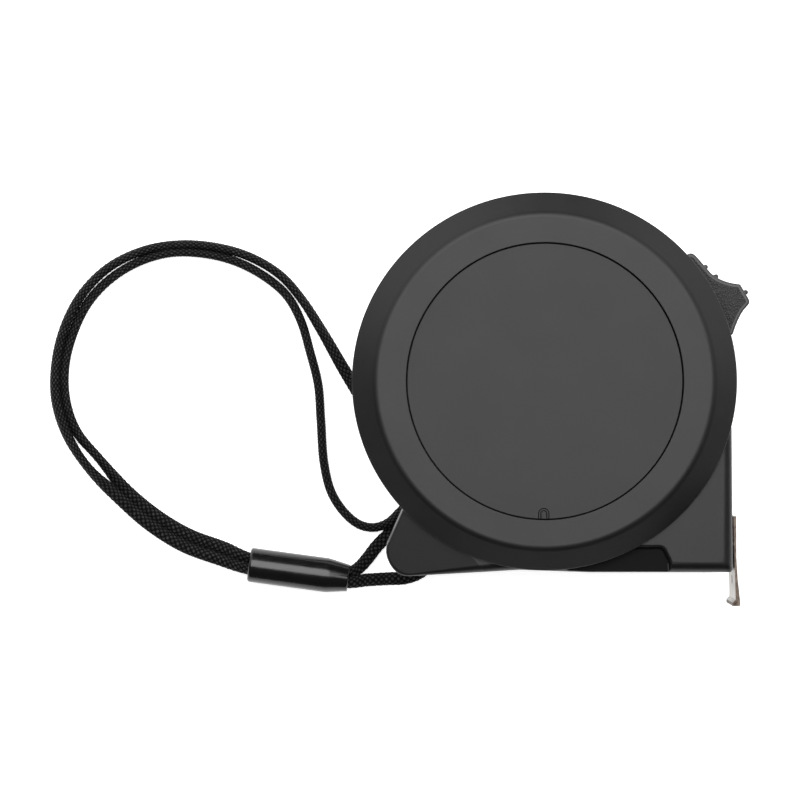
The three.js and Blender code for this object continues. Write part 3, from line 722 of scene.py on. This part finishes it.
def make_strand(name, route_m, roll, shift):
    """A strand's object, and the line (mm) that it follows."""
    line, places = catmull_rom(np.array(route_m) / MM, SPAN_STEPS)
    line, places, along = evenly(line, places, CORD_STEP)
    angles = averaged(np.radians(np.interp(places, *zip(*roll))), 20)
    half_height = np.hypot(BRAID_HALF_WIDTH * np.sin(angles), BRAID_HALF_THICKNESS * np.cos(angles))
    lying = line[:, 2] < LYING_BELOW
    line[lying, 2] = half_height[lying] + FLOOR_CLEARANCE
    line[:, 2] = np.maximum(line[:, 2], half_height + FLOOR_CLEARANCE)
    line[:, 2] = averaged(line[:, 2], 6)
    tangents = unit(np.gradient(line, axis=0))
    sides = level_sides(tangents)
    line = line + sides * averaged(np.interp(places, *zip(*shift)), 20)[:, None]
    ups = np.cross(tangents, sides)
    wide = sides * np.cos(angles)[:, None] + ups * np.sin(angles)[:, None]
    thin = np.cross(tangents, wide)
    turn = np.linspace(0, 2 * math.pi, CORD_AROUND, endpoint=False)
    x, y = superellipse(turn, BRAID_HALF_WIDTH, BRAID_HALF_THICKNESS)
    height = braid_height(turn[None, :] / (2 * math.pi), along[:, None])
    size = 1 + BRAID_RELIEF * (height - BRAID_MEAN_HEIGHT) / np.hypot(x, y)[None, :]
    rings = (line[:, None, :] + (x[None, :] * size)[..., None] * wide[:, None, :]
             + (y[None, :] * size)[..., None] * thin[:, None, :])
    rings[..., 2] = np.maximum(rings[..., 2], LOWEST)
    obj = new_object(name, *loft(rings))
    crowns = obj.data.attributes.new("crown", "FLOAT", "POINT")
    crowns.data.foreach_set("value", height.astype(np.float32).ravel())
    for face in obj.data.polygons:
        face.use_smooth = True
    return obj, line


def add_cords(materials, bead):
    for name, node, route, roll, shift, pieces in (
            ("cord_outer", "wrist_cord_outer", OUTER_ROUTE_M, OUTER_ROLL, OUTER_SHIFT, (bead,)),
            ("cord_inner", "wrist_cord_inner", INNER_ROUTE_M, INNER_ROLL, INNER_SHIFT, ())):
        strand, line = make_strand(name, route, roll, shift)
        dress(strand, node, "case", materials["cord"])


# ---- Bead on the cord ----

BEAD_LEFT = np.array([-54.28, -34.07])      # ends of the bead's axis
BEAD_RIGHT = np.array([-35.71, -36.59])
BEAD_RADIUS = 3.25          # also the height of the axis, so the bead lies on the floor
BEAD_SKIN = 0.02            # how much smaller than that the finished surface is
BEAD_TAPER = 4.0            # length of the slimmer right end
BEAD_SLIMMER = 0.75
BEAD_FLARES = ((0.0, 0.35), (0.12, 0.12), (0.5, 0.0))   # the bore: depth from a mouth, flare


def add_bead(materials):
    """A barrel with rounded mouths, an oval bore and a slimmer right end."""
    length = np.linalg.norm(BEAD_RIGHT - BEAD_LEFT)
    direction = (BEAD_RIGHT - BEAD_LEFT) / length
    across = np.array([-direction[1], direction[0]])
    full, slim, mouth = BEAD_RADIUS - BEAD_SKIN, BEAD_RADIUS - BEAD_SLIMMER, 2.0
    outside = filleted([(0, mouth), (0, full), (length - BEAD_TAPER, full), (length, slim),
                        (length, mouth)], [0, 0.75, 6, 0.6, 0], 8)
    around = circle(1.0, 64)
    sections = [(along, radius * around) for along, radius in outside[1:-1]]
    bore = around * (2.3, 1.35)
    sections += [(length - depth, bore + flare * around) for depth, flare in BEAD_FLARES]
    sections += [(depth, bore + flare * around) for depth, flare in reversed(BEAD_FLARES)]
    rings = []
    for along, section in sections:
        centre = BEAD_LEFT + direction * along
        rings.append(at_level(centre + section[:, :1] * across, BEAD_RADIUS + section[:, 1]))
    obj = lofted("bead", rings + rings[:1], welded=True, closed=True)
    soften(obj, 0, degrees=50)
    dress(obj, "cord_bead", "bead", materials["bead"])
    return obj


# ---- Case ----

FACE_WALL = 2.0
SIDE_WALL = 1.8
OUTLINE_CORNER = 0.8
FOOT_X = -28.7
FOOT_Y = -35.3
SEAM_CHAMFER = 0.12
FRONT_ROUND, BASE_ROUND, BACK_ROUND, FOOT_ROUND, BODY_ROUND = 1.6, 2.0, 1.6, 0.5, 1.0
FOOT_TILT = 8.5             # the foot's face falls away from the reel axis, in degrees
FOOT_TILT_FROM = 31.0       # distance from the reel axis where it starts
FOOT_BEARING = 222
SCREWS = [(28.4, -25.4), (-24.6, -31.0), (-20.4, 20.9), (14.6, 25.3)]
BOSS_RADIUS = 1.974
SCREW_HOLE, SCREW_SINK = 1.1, 2.0       # radii
CLIP_SCREW_Y = 17.5
CLIP_SCREW_HOLE = 1.5
STRAP_HOLE = (-21.0, -21.8)
STRAP_HOLE_RADIUS = 2.75
STRAP_BEARING = 226
STRAP_POST_AT = 28.9
STRAP_POST_LEVEL = 12.2
LOCK_FROM, LOCK_TO = 13.8, 41.5         # the lock's ends round the reel axis, in degrees
RECESS_DEPTH = 1.2


def case_outline(inset=0.0):
    """The case from the front, moved inwards: a round body, a square nose and a foot."""
    radius = BODY_RADIUS - inset
    front = FRONT_X - inset
    base = BASE_Y + inset
    foot = FOOT_Y + inset
    heel = FOOT_X + inset
    points = [(-4.4, -34.15 + inset), (8.3, base), (front - OUTLINE_CORNER, base)]
    points += curve_points(points[-1], (front, base), (front, base + OUTLINE_CORNER), 6)
    points += [(front - 0.2, -8.8), (radius + 0.4, -2.0)]
    points += arc((0, 0), radius, 3.5, 221, 110)
    points += [(heel + 0.5, -29.0)]
    points += curve_points(points[-1], (heel - 0.3, -30.4), (heel + 0.35, -32.2), 6)
    points += curve_points(points[-1], (heel + 1.5, foot), (heel + 4.2, foot), 8)
    return np.array(points)


def shell_solid(name, seam_level, face_level, rounding):
    """Half of the case as a solid, its face's edge rounded by a radius for each outline point."""
    square, moved = case_outline(0.0), case_outline(1.0)
    inward = moved - square
    out = 1 if face_level > seam_level else -1
    rings = []

    def ring(inset, level):
        points = square + inward * np.broadcast_to(inset, (len(square),))[:, None]
        rings.append(at_level(points, level))

    ring(SEAM_CHAMFER, seam_level)
    ring(0.0, seam_level + out * SEAM_CHAMFER)
    for angle in np.radians(np.linspace(0, 90, 8)):
        ring(rounding * (1 - math.cos(angle)),
             face_level - out * rounding * (1 - math.sin(angle)))
    return lofted(name, rings)


def cylinder(place, radius, low, high, count=28):
    return prism("cylinder", circle(radius, count, place), low, high)


def lock_window():
    outline = (arc((0, 0), BODY_RADIUS + 2, LOCK_FROM - 2, 35, 6)
               + arc((0, 0), BODY_RADIUS - 4, 35, LOCK_FROM - 2, 6))
    return prism("window", outline, CASE_MIDDLE - 5.8, CASE_MIDDLE + 5.8)


def blade_mouth():
    corners = [(30, -32.7), (36, -32.7), (36, -28.4), (30, -28.4)]
    return prism("mouth", corners, CASE_MIDDLE - 10.2, CASE_MIDDLE + 10.2)


def hollow(obj, low, high):
    cut(obj, prism("cavity", case_outline(SIDE_WALL), low, high))


def at_screws(radius, low, high):
    """A cylinder at each case screw."""
    return [cylinder(place, radius, low, high) for place in SCREWS]


def at_strap(near, far, side_from, side_to, low, high):
    """A block beside the strap hole, given along and across the direction to it."""
    turn = math.radians(STRAP_BEARING)
    ahead = np.array([math.cos(turn), math.sin(turn)])
    aside = np.array([-math.sin(turn), math.cos(turn)])
    corners = [(near, side_from), (far, side_from), (far, side_to), (near, side_to)]
    return prism("lug", [ahead * a + aside * b for a, b in corners], low, high)


def tilt_foot(obj):
    """Lowers the foot's face towards its corner."""
    bearing = math.radians(FOOT_BEARING)
    away = Vector((math.cos(bearing), math.sin(bearing), 0))
    start = FOOT_TILT_FROM * MM
    with mesh_edit(obj) as edit:
        everything = edit.verts[:] + edit.edges[:] + edit.faces[:]
        bmesh.ops.bisect_plane(edit, geom=everything, plane_co=away * start, plane_no=away)
        for vertex in edit.verts:
            past = vertex.co.dot(away) - start
            if past > 0 and vertex.co.z > (CASE_FRONT - 3) * MM:
                vertex.co.z -= past * math.tan(math.radians(FOOT_TILT))
        for edge in edit.edges:
            if all(abs(vertex.co.dot(away) - start) < 1e-6 for vertex in edge.verts):
                edge.smooth = False


def base_recess():
    """Cutter for the shallow recess under the bezel, with its rim and floor rounded."""
    plan = filleted([(4, -30.0), (4, -37), (23.2, -37), (22.8, -32.6), (21.5, -30.0), (4, -30.0)],
                    [0, 0, 0, 2.0, 1.2, 0], 6)[:-1]
    rings = []
    for drop, width in ((RECESS_DEPTH, 0.5), (1.1, 0.28), (0.85, 0.12), (0.5, 0.0),
                        (0.25, -0.08), (0.08, -0.25), (0.0, -0.5), (-2.0, -0.5)):
        rings.append(at_level(inset_outline(plan, width, keep_all=True), CASE_FRONT - drop))
    return lofted("recess", rings)


def add_front_shell(materials):
    outline = case_outline()
    rounding = np.full(len(outline), BODY_ROUND)
    rounding[outline[:, 0] > 33.2] = FRONT_ROUND
    rounding[outline[:, 1] < -33.5] = BASE_ROUND
    rounding[(outline[:, 0] < -23) & (outline[:, 1] < -28)] = FOOT_ROUND
    obj = shell_solid("front_half", CASE_MIDDLE + SEAM, CASE_FRONT, rounding)
    tilt_foot(obj)
    hollow(obj, CASE_MIDDLE - 1, CASE_FRONT - FACE_WALL)
    combine(obj, "UNION", at_screws(BOSS_RADIUS, CASE_MIDDLE + SEAM, CASE_FRONT - FACE_WALL + 0.2))
    holes = at_screws(SCREW_HOLE, CASE_MIDDLE - 1, CASE_MIDDLE + 8)
    cut(obj, lock_window(), blade_mouth(), base_recess(), *holes)
    soften(obj, 0, degrees=30)
    dress(obj, "front_shell", "case", materials["shell"])

    # The recess floor is painted near black: painted shade, since the shallow recess would otherwise
    # light up nearly as bright as the face
    paint_faces(obj, materials["painted_shade"], lambda centre, normal: normal[2] > 0.9
                and 3.9 < centre[0] < 23.3 and centre[1] < -29.9
                and abs(centre[2] - CASE_FRONT + RECESS_DEPTH) < 0.05)


def add_rear_shell(materials):
    obj = shell_solid("rear_half", CASE_MIDDLE - SEAM, CASE_BACK,
                      np.full(len(case_outline()), BACK_ROUND))
    hollow(obj, CASE_BACK + FACE_WALL, CASE_MIDDLE + 1)
    lug_low, lug_high = CASE_BACK + 1, STRAP_POST_LEVEL + 2.2
    lugs = [at_strap(STRAP_POST_AT - 1.8, STRAP_POST_AT + 1.6, a, b, lug_low, lug_high)
            for a, b in ((4.2, 5.4), (-5.4, -4.2))]
    combine(obj, "UNION", at_screws(BOSS_RADIUS, CASE_BACK + 1, CASE_MIDDLE - SEAM) + lugs)
    holes = at_screws(SCREW_HOLE, CASE_BACK - 1, CASE_MIDDLE + 1)
    sinks = at_screws(SCREW_SINK, CASE_BACK - 1, CASE_BACK + 1.5)
    strap = cylinder(STRAP_HOLE, STRAP_HOLE_RADIUS + 1.2, CASE_BACK - 1, 10, 48)
    clip_hole = cylinder((0, CLIP_SCREW_Y), CLIP_SCREW_HOLE, CASE_BACK - 1, CASE_BACK + 3)
    cut(obj, lock_window(), blade_mouth(), strap, clip_hole, *holes, *sinks)
    soften(obj, 0, degrees=30)
    dress(obj, "rear_shell", "case", materials["shell"])


# ---- Bezel, label and rear cap ----

SLOPE_FROM, SLOPE_DROP = 30.55, 3.2     # where the bezel starts to slope, and how far it drops
SEAT_RADIUS, SEAT_DEPTH = 24.95, 2.0    # of the seat for the label
GROOVE_DEPTH, GROOVE_WIDTH = 0.35, 0.18
ARCH_CENTRE, ARCH_FOOT = (-0.2, -23.83), -25.2


def add_bezel(materials):
    """A rim, a sloped ring, a flat ring and a seat for the label, wider than it is tall."""
    low, seat = BEZEL_LOW[2], BEZEL_FRONT - SEAT_DEPTH
    profile = filleted(
        [(0, low), (RIM_RADIUS - 0.3, low), (RIM_RADIUS, low + 0.3),
         (RIM_RADIUS, BEZEL_FRONT - SLOPE_DROP), (SLOPE_FROM, BEZEL_FRONT),
         (SEAT_RADIUS, BEZEL_FRONT), (SEAT_RADIUS, seat), (0, seat)],
        [0, 0.1, 0.1, 0.18, 2.2, 0.2, 0.1, 0], 9)
    obj = turned("bezel", profile, 240)
    for vertex in obj.data.vertices:
        radius = math.hypot(vertex.co.x, vertex.co.y) / MM
        outward = (radius - SEAT_RADIUS) / (RIM_RADIUS - SEAT_RADIUS)
        vertex.co.y *= 1 - RIM_FLATTENING * max(outward, 0)
    soften(obj, 0, degrees=35)
    dress(obj, "front_bezel", "case", materials["bezel"])


def arch_groove(radius):
    """Cutter for a thin line shaped like an arch."""
    x, inner = ARCH_CENTRE[0], radius - GROOVE_WIDTH
    outline = [(x - radius, ARCH_FOOT)] + arc(ARCH_CENTRE, radius, 180, 0, 16)
    outline += [(x + radius, ARCH_FOOT), (x + inner, ARCH_FOOT)]
    outline += arc(ARCH_CENTRE, inner, 0, 180, 16) + [(x - inner, ARCH_FOOT)]
    return prism("arch", outline, LABEL_TOP - GROOVE_DEPTH, LABEL_TOP + 1)


def add_label(materials):
    """The recessed disc, with a small arch-shaped groove at its lower edge."""
    low, radius = LABEL_LOW[2], LABEL_RADIUS + 0.18
    profile = filleted([(0, low), (radius, low), (radius, LABEL_TOP), (0, LABEL_TOP)],
                       [0, 0.1, 0.15, 0], 6)
    obj = turned("label", profile, 240)
    cut(obj, arch_groove(1.02), arch_groove(0.62))
    soften(obj, 0, degrees=35)
    dress(obj, "label_disc", "case", materials["label"])
    # The arch grooves' floors are painted near black: painted shade that draws the thin grooves as
    # dark lines
    paint_faces(obj, materials["painted_shade"], lambda centre, normal: normal[2] > 0.9
                and abs(centre[2] - LABEL_TOP + GROOVE_DEPTH) < 0.05)


def add_rear_cap(materials):
    high, radius = CAP_HIGH[2], CAP_HIGH[0]
    low = CAP_LOW[2]
    profile = filleted([(0, low), (radius - 1.5, low), (radius, low + 1.0), (radius, high),
                        (0, high)], [0, 0.8, 0.5, 0.1, 0], 6)
    obj = turned("rear_cap", profile, 160)
    cut(obj, cylinder((0, CLIP_SCREW_Y), CLIP_SCREW_HOLE, low - 1, high + 1))
    soften(obj, 0, degrees=35)
    dress(obj, "rear_cap", "case", materials["cap"])


# ---- Thumb lock ----

LOCK_CLEARANCE = 0.35       # between the cap and the case's round edge
LOCK_RIBS = ((29.55, 20.85), (31.45, 19.1), (36.85, 16.25))
RIB_RADIUS, RIB_INSET = 0.45, 0.8
PANEL_INSET, PANEL_RAISED, PANEL_SUNK = 0.62, 0.025, 0.2


def lock_outline():
    """Side view of the lock's cap: a saddle with a nose at the front."""
    nose = (34.4, 8.45)
    points = arc((0, 0), BODY_RADIUS + LOCK_CLEARANCE, LOCK_TO, LOCK_FROM, 24) + [nose]
    for start, control, end, count in (
            (nose, (35.3, 11.4), (36.4, 12.95), 8),
            ((37.2, 13.85), (37.7, 14.4), (37.3, 15.1), 6),
            ((35.95, 17.45), (35.75, 17.75), (35.3, 17.75), 5),
            ((35.3, 17.75), (32.2, 18.1), (30.4, 19.8), 10),
            ((28.2, 22.3), (27.2, 23.7), (26.3, 23.2), 8)):
        points += curve_points(start, control, end, count)
    return points


def rib(place, low, high):
    """A bar along Z with round ends."""
    ends = [(RIB_RADIUS * math.sin(a), RIB_RADIUS * (1 - math.cos(a)))
            for a in np.radians([15, 40, 65, 90])]
    profile = [(0, low)] + [(r, low + d) for r, d in ends]
    profile += [(r, high - d) for r, d in reversed(ends)] + [(0, high)]
    return turned("rib", profile, 20, place)


def add_lock(materials):
    low, high = LOCK_LOW[2], LOCK_HIGH[2]
    obj = prism("lock_cap", lock_outline(), low, high)
    soften(obj, 0.38, segments=4, degrees=40)
    ribs = [rib(place, low + RIB_INSET, high - RIB_INSET) for place in LOCK_RIBS]
    for piece in ribs:
        mark_sharp(piece, 60)
    panel = inset_outline(lock_outline(), PANEL_INSET)
    panels = [prism("panel", panel, high - PANEL_SUNK, high + PANEL_RAISED),
              prism("panel", panel, low - PANEL_RAISED, low + PANEL_SUNK)]
    add_loose(obj, *ribs, *panels)
    dress(obj, "lock_button", "lock", materials["lock"])
    paint_faces(obj, materials["lock_side"], lambda centre, normal: abs(normal[2]) > 0.99
                and not low - PANEL_RAISED / 2 < centre[2] < high + PANEL_RAISED / 2)


# ---- Belt clip: one bent strip ----

CLIP_THICKNESS = 0.8
CLIP_TOP_Y, CLIP_END_Y = 23.0, -25.0
CLIP_CORNER = 3.5           # of the tongue's free end, seen from behind
CLIP_HOLE = 1.8
CLIP_EDGE = 0.16


def add_clip(materials):
    """The strip from its screwed end, round the bend and along the tongue."""
    plate = CLIP_PLATE_TOP - CLIP_THICKNESS
    lower = [(CLIP_TOP_Y, plate), (13.5, plate), (7.6, 0.12), (7.0, 0.0), (-14.0, 0.0),
             (-17.0, 0.9), (-19.6, 2.65), (-21.0, 2.9), (-22.5, 2.5), (CLIP_END_Y, 1.2)]
    line = filleted(lower, [0, 2.5, 1.0, 1.0, 4.0, 4.0, 1.5, 1.5, 1.5, 0], 6)
    section = line + [(y, z + CLIP_THICKNESS) for y, z in reversed(line)]
    half = CLIP_HALF_WIDTH
    obj = lofted("belt_clip", [[(x, y, z) for y, z in section] for x in np.linspace(-half, half, 13)])
    inner, above = half - CLIP_CORNER, CLIP_END_Y + CLIP_CORNER
    plan = [(-half, CLIP_TOP_Y), (-half, above)]
    plan += curve_points((-half, above), (-half, CLIP_END_Y), (-inner, CLIP_END_Y), 8)
    plan += [(inner, CLIP_END_Y)]
    plan += curve_points((inner, CLIP_END_Y), (half, CLIP_END_Y), (half, above), 8)
    plan += [(half, CLIP_TOP_Y)]
    combine(obj, "INTERSECT", [prism("plan", plan, -1, 8)])
    cut(obj, cylinder((0, CLIP_SCREW_Y), CLIP_HOLE, plate - 1, plate + 2, 36))
    soften(obj, CLIP_EDGE, segments=2, degrees=40)
    obj.data.materials.append(materials["clip"])
    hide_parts("belt_clip_root", "belt_clip_tongue")
    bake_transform(obj)


def add_clip_screw(materials):
    """A domed head with a cross recess, on a plain shank."""
    low, high = (corner[2] for corner in box_mm("belt_clip_screw"))
    dome, head, shank = 2.2, 3.2, 1.1       # radii
    head_top = 3.8
    profile = filleted([(0, low), (dome, low), (head, head_top - 0.45), (head, head_top),
                        (shank, head_top), (shank, high), (0, high)],
                       [0, 0.9, 0.25, 0.1, 0, 0.1, 0], 5)
    obj = turned("clip_screw", profile, 64, (0, CLIP_SCREW_Y))
    bar = [(-1.5, -0.3), (1.5, -0.3), (1.5, 0.3), (-1.5, 0.3)]
    cut(obj, *[prism("bar", [(x, y + CLIP_SCREW_Y) for x, y in corners], low - 1, low + 0.7)
               for corners in (bar, [(y, x) for x, y in bar])])
    soften(obj, 0, degrees=35)
    dress(obj, "belt_clip_screw", "case", materials["screw"])


# ---- Blade, hook and small parts ----

HOOK_EDGE = 0.11
HOOK_LIP_Y = -40.25         # the leg's end, below this, is cut edge


def add_softened(node, name, body, material, width, degrees):
    """A CAD node's shape with its edges rounded."""
    obj = copy_of(node, name)
    soften(obj, width, degrees=degrees)
    dress(obj, node, body, material)


def add_hook(materials):
    """The hook, pressed from thin sheet: its leg leans forward and ends in a small lip."""
    obj = copy_of("end_hook", "hook")
    outside = [(34.95, -24.0), (36.8, -24.0), (36.8, -41.5), (35.6, -41.5), (35.72, -40.3),
               (35.25, -36.0), (35.0, -32.0)]
    cut(obj, prism("outside", outside, HOOK_LOW[2] - 1, HOOK_HIGH[2] + 1))
    soften(obj, HOOK_EDGE, degrees=35)
    dress(obj, "end_hook", "hook", materials["hook"])
    paint_faces(obj, materials["hook_edge"], lambda centre, normal: centre[0] > FRONT_X
                and (abs(normal[2]) > 0.6 or centre[1] < HOOK_LIP_Y))


def add_small_parts(materials):
    """The blade's front stretch, and the rivets and screws."""
    add_softened("blade_front", "blade", "blade", materials["blade"], 0.0, 25)
    for number in (1, 2, 3):
        add_softened(f"hook_rivet_{number}", f"rivet_{number}", "blade",
                     materials["hook"], 0.15, 40)
    for number in (1, 2, 3, 4):
        add_softened(f"case_screw_{number}", f"screw_{number}", "case",
                     materials["screw"], 0.06, 40)


def add_grommet(materials):
    """A flanged bush that the strap runs through."""
    low, high = GROMMET_LOW[2], GROMMET_HIGH[2]
    inner, collar, rim = STRAP_HOLE_RADIUS, STRAP_HOLE_RADIUS + 0.9, STRAP_HOLE_RADIUS + 1.7
    flange = CASE_BACK - 0.3
    profile = [(inner, high), (inner, low), (rim, low), (rim, flange), (collar, flange),
               (collar, high), (inner, high)]
    line = filleted(profile, [0, 0.35, 0.3, 0.1, 0, 0.1, 0], 5)
    obj = turned("grommet", line, 72, STRAP_HOLE, closed=True)
    soften(obj, 0, degrees=40)
    dress(obj, "strap_grommet", "case", materials["lock"])


def finish_inner_nodes(materials):
    """Materials for the CAD nodes that stay as they are, inside the case."""
    for node, key in (("blade_coil", "blade"), ("reel_drum", "nylon"), ("spring_cover", "nylon"),
                      ("arbor_post", "spring"), ("power_spring", "spring"),
                      ("strap_post", "spring"), ("mouth_guide_front", "nylon"),
                      ("mouth_guide_rear", "nylon"), ("lock_arm", "nylon"),
                      ("lock_pad", "rubber")):
        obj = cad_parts[node]
        obj.data.materials.clear()
        obj.data.materials.append(materials[key])


# ---- Studio ----

def add_floor():
    """A sheet of white paper, just under the tape."""
    half, level = 4000.0, -0.06
    corners = [(-half, -half), (half, -half), (half, half), (-half, half)]
    floor = new_object("floor", at_level(corners, level), [(0, 1, 2, 3)])
    floor.data.materials.append(floor_paper("white_paper"))


def add_light(name, azimuth, elevation, distance, size, power, aim=(0, 0, 15)):
    """A square softbox, placed by its direction from the aim point in degrees."""
    data = bpy.data.lights.new(name, "AREA")
    data.shape = "SQUARE"
    data.size = size
    data.energy = power
    light = bpy.data.objects.new(name, data)
    across, up = math.radians(azimuth), math.radians(elevation)
    direction = Vector((math.cos(up) * math.cos(across), math.cos(up) * math.sin(across),
                        math.sin(up)))
    target = Vector(aim) * MM
    light.location = target + direction * distance
    light.rotation_euler = (-direction).to_track_quat("-Z", "Y").to_euler()
    bpy.context.scene.collection.objects.link(light)


def add_studio():
    scene = bpy.context.scene
    world = bpy.data.worlds.new("studio")
    world.use_nodes = True
    world.node_tree.nodes["Background"].inputs["Color"].default_value = (1, 1, 1, 1)
    world.node_tree.nodes["Background"].inputs["Strength"].default_value = 0.025
    scene.world = world
    add_light("upper_left", 132, 22, 1.0, 1.2, 6.3)
    add_light("upper_right", 34, 22, 1.0, 1.2, 4.8)
    add_light("overhead", 90, 76, 1.5, 1.2, 26.3)
    scene.view_settings.view_transform = "Standard"
    scene.view_settings.look = "None"


# ---- Everything together ----

add_camera()
MATERIALS = make_materials()
add_cords(MATERIALS, add_bead(MATERIALS))
add_front_shell(MATERIALS)
add_rear_shell(MATERIALS)
add_bezel(MATERIALS)
add_label(MATERIALS)
add_rear_cap(MATERIALS)
add_lock(MATERIALS)
add_clip(MATERIALS)
add_clip_screw(MATERIALS)
add_hook(MATERIALS)
add_small_parts(MATERIALS)
add_grommet(MATERIALS)
finish_inner_nodes(MATERIALS)
add_floor()
add_studio()
